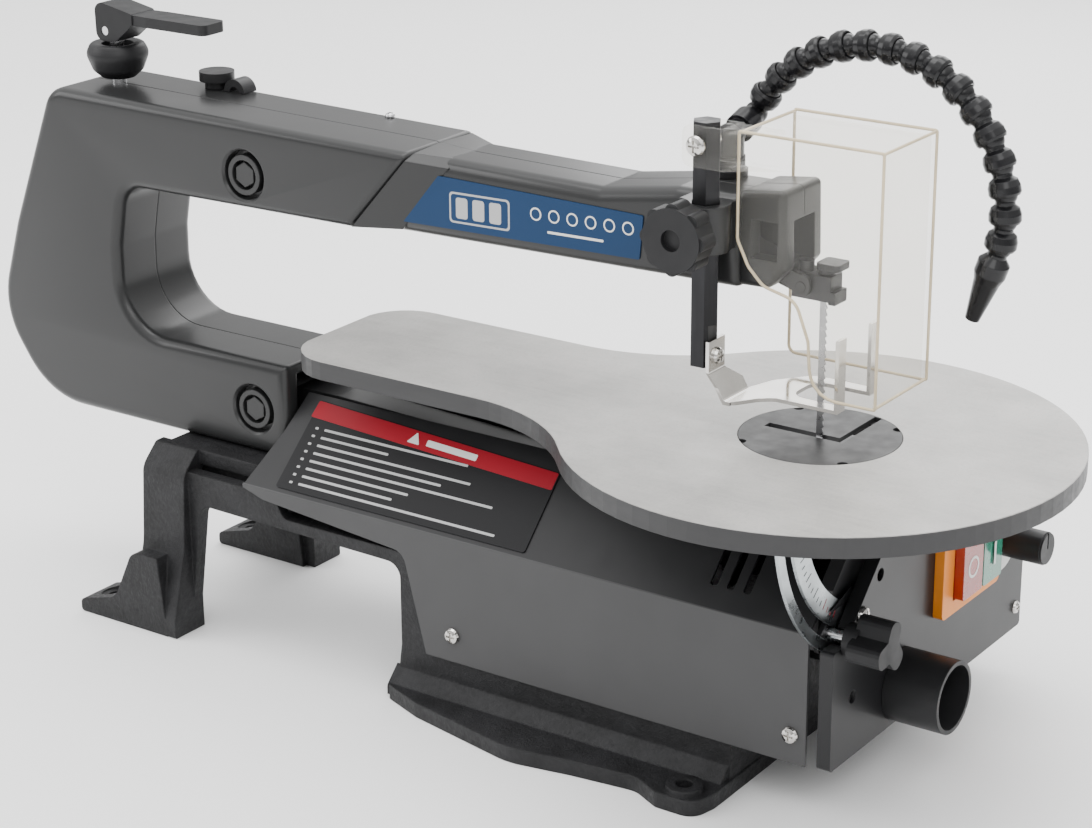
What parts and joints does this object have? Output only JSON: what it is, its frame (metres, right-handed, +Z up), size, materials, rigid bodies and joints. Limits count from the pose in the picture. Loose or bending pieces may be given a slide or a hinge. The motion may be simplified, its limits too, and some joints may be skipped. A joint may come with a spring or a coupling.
{
  "type": "scroll saw",
  "caption": "Bench scroll saw with a C-shaped frame, parallel rocking arms, a tilting round table, hold-down foot, clear guard, jointed air hose and stop/start switch.",
  "frame": {"origin": "on the bench, midway between the two front bench bolts", "axes": "+Z up, +Y from the operator towards the back of the frame, X across; the blade lies in the plane X = 0"},
  "size_m": [0.267, 0.6253, 0.353],
  "materials": {
    "cast_black": "rough black paint on casting",
    "frame_grey": "satin dark grey paint",
    "cover_grey": "satin mid grey paint",
    "panel_dark": "satin dark grey paint",
    "black_plastic": "moulded",
    "gloss_black": "glossy",
    "steel": "plated",
    "dark_steel": "blackened",
    "chrome": "polished",
    "alloy": "cast",
    "table_top": "ground top, dark painted rim",
    "bronze": "sintered",
    "label_blue": "printed panel",
    "label_dark": "printed panel with a red band",
    "orange": "moulded",
    "red_clear": "translucent",
    "green_clear": "translucent",
    "white": "printed scale",
    "pointer_red": "moulded",
    "rubber": "flexible",
    "tube": "flexible tube",
    "clear": "clear polycarbonate"
  },
  "bodies": {
    "machine": {"base_casting": "cast_black", "frame_shell_left": "frame_grey", "frame_shell_right": "frame_grey", "frame_pivot_pins": "dark_steel", "pivot_caps": "black_plastic", "frame_screws": "steel", "arm_label": "label_blue", "side_cover": "cover_grey", "warning_panel": "label_dark", "front_panel": "panel_dark", "motor_cover": "cover_grey", "cover_screws": "steel", "motor_body": "panel_dark", "control_box": "black_plastic", "switch_plate": "orange", "speed_dial": "white", "dust_port": "black_plastic", "cable_gland": "black_plastic", "air_bellows": "rubber", "air_tube": "tube", "top_cap": "black_plastic", "trunnion_saddles": "cast_black", "tilt_pointer": "pointer_red", "rod_holder": "frame_grey", "hose_fitting": "black_plastic"},
    "lower_arm": {"lower_arm": "alloy", "lower_arm_bush": "bronze"},
    "upper_arm": {"upper_arm": "alloy", "arm_bushes": "bronze"},
    "link": {"drive_link": "alloy"},
    "crank": {"motor_shaft": "steel", "eccentric": "steel"},
    "blade_set": {"blade": "steel", "upper_blade_clamp": "dark_steel", "lower_blade_clamp": "dark_steel"},
    "thumb_tab": {"clamp_thumb_tab": "steel"},
    "tensioner": {"tension_rod": "steel", "tension_spring": "steel"},
    "collar": {"tension_collar": "gloss_black"},
    "lever": {"tension_lever": "gloss_black"},
    "table": {"table": "table_top", "table_insert": "black_plastic", "table_trunnions": "cast_black", "tilt_quadrant": "steel"},
    "tilt_lock": {"tilt_lock_stud": "steel", "tilt_lock_knob": "black_plastic"},
    "rod": {"guide_rod": "dark_steel", "foot_screw": "chrome"},
    "rod_knob": {"rod_clamp_knob": "black_plastic"},
    "foot": {"hold_down_foot": "chrome"},
    "guard": {"blade_guard": "clear", "guard_screw": "chrome"},
    "red_button": {"red_button": "red_clear"},
    "green_button": {"green_button": "green_clear"},
    "speed_knob": {"speed_knob": "black_plastic"},
    "hose_1": {"hose_lower": "gloss_black"},
    "hose_2": {"hose_middle": "gloss_black"},
    "hose_3": {"hose_upper": "gloss_black"},
    "hose_4": {"hose_front": "gloss_black"},
    "hose_5": {"hose_end": "gloss_black"},
    "nozzle": {"hose_nozzle": "gloss_black"}
  },
  "joints": [
    {"name": "arm_rock", "type": "hinge", "parent": "machine", "child": "lower_arm", "pos_m": [0, 0.296, 0.1245], "axis": [1, 0, 0], "range_deg": [-1.15, 1.15]},
    {"name": "upper_arm_rock", "type": "hinge", "parent": "machine", "child": "upper_arm", "pos_m": [0, 0.296, 0.2515], "axis": [1, 0, 0], "range_deg": [-1.15, 1.15]},
    {"name": "blade_level", "type": "hinge", "parent": "upper_arm", "child": "blade_set", "pos_m": [0, -0.018, 0.241], "axis": [1, 0, 0], "range_deg": [-1.15, 1.15]},
    {"name": "tension_rod_level", "type": "hinge", "parent": "upper_arm", "child": "tensioner", "pos_m": [0, 0.407, 0.2515], "axis": [1, 0, 0], "range_deg": [-1.15, 1.15]},
    {"name": "link_swing", "type": "hinge", "parent": "lower_arm", "child": "link", "pos_m": [0, 0.049, 0.112], "axis": [1, 0, 0], "range_deg": [-2, 2]},
    {"name": "crank_spin", "type": "hinge", "parent": "machine", "child": "crank", "pos_m": [0, 0.049, 0.064], "axis": [1, 0, 0], "continuous": true},
    {"name": "thumb_tab_turn", "type": "hinge", "parent": "blade_set", "child": "thumb_tab", "pos_m": [0, -0.027, 0.247], "axis": [0, 0, 1], "range_deg": [-90, 90]},
    {"name": "collar_turn", "type": "hinge", "parent": "tensioner", "child": "collar", "pos_m": [0, 0.407, 0.283], "axis": [0, 0, 1], "continuous": true},
    {"name": "lever_flip", "type": "hinge", "parent": "tensioner", "child": "lever", "pos_m": [0, 0.407, 0.3094], "axis": [-1, 0, 0], "range_deg": [0, 85]},
    {"name": "table_tilt", "type": "hinge", "parent": "machine", "child": "table", "pos_m": [0, -0.026, 0.168], "axis": [0, -1, 0], "range_deg": [0, 45]},
    {"name": "tilt_lock_turn", "type": "hinge", "parent": "machine", "child": "tilt_lock", "pos_m": [-0.04333, -0.076, 0.09141], "axis": [0, 1, 0], "continuous": true},
    {"name": "rod_height", "type": "slide", "parent": "machine", "child": "rod", "axis": [0, 0, 1], "range_m": [0, 0.03]},
    {"name": "rod_knob_turn", "type": "hinge", "parent": "machine", "child": "rod_knob", "pos_m": [-0.06, 0.0185, 0.27], "axis": [1, 0, 0], "continuous": true},
    {"name": "foot_angle", "type": "hinge", "parent": "rod", "child": "foot", "pos_m": [-0.031, 0.012, 0.209], "axis": [0, -1, 0], "range_deg": [-8, 8]},
    {"name": "guard_flip", "type": "hinge", "parent": "rod", "child": "guard", "pos_m": [0, 0.0185, 0.309], "axis": [-1, 0, 0], "range_deg": [0, 75]},
    {"name": "red_press", "type": "slide", "parent": "machine", "child": "red_button", "axis": [0, 1, 0], "range_m": [0, 0.0025], "stiffness_N_per_m": 800},
    {"name": "green_press", "type": "slide", "parent": "machine", "child": "green_button", "axis": [0, 1, 0], "range_m": [0, 0.0025], "stiffness_N_per_m": 800},
    {"name": "speed_turn", "type": "hinge", "parent": "machine", "child": "speed_knob", "pos_m": [0.117, -0.076, 0.085], "axis": [0, -1, 0], "range_deg": [0, 270]},
    {"name": "hose_swivel", "type": "hinge", "parent": "machine", "child": "hose_1", "pos_m": [0.012, 0.033, 0.29], "axis": [0, 0, 1], "range_deg": [0, 5]},
    {"name": "hose_2_bend", "type": "hinge", "parent": "hose_1", "child": "hose_2", "pos_m": [0.036, 0.00867, 0.33449], "axis": [1, 0, 0], "range_deg": [-10, 2]},
    {"name": "hose_3_bend", "type": "hinge", "parent": "hose_2", "child": "hose_3", "pos_m": [0.036, -0.02669, 0.34564], "axis": [1, 0, 0], "range_deg": [-10, 2]},
    {"name": "hose_4_bend", "type": "hinge", "parent": "hose_3", "child": "hose_4", "pos_m": [0.036, -0.06267, 0.33666], "axis": [1, 0, 0], "range_deg": [-10, 2]},
    {"name": "hose_5_bend", "type": "hinge", "parent": "hose_4", "child": "hose_5", "pos_m": [0.036, -0.08866, 0.31022], "axis": [1, 0, 0], "range_deg": [-10, 2]},
    {"name": "nozzle_bend", "type": "hinge", "parent": "hose_5", "child": "nozzle", "pos_m": [0.036, -0.09527, 0.26171], "axis": [1, 0, 0], "range_deg": [-15, 4]}
  ],
  "couplings": [
    {"joint": "upper_arm_rock", "follows": "arm_rock", "ratio": 1},
    {"joint": "blade_level", "follows": "arm_rock", "ratio": -1},
    {"joint": "tension_rod_level", "follows": "arm_rock", "ratio": -1}
  ]
}
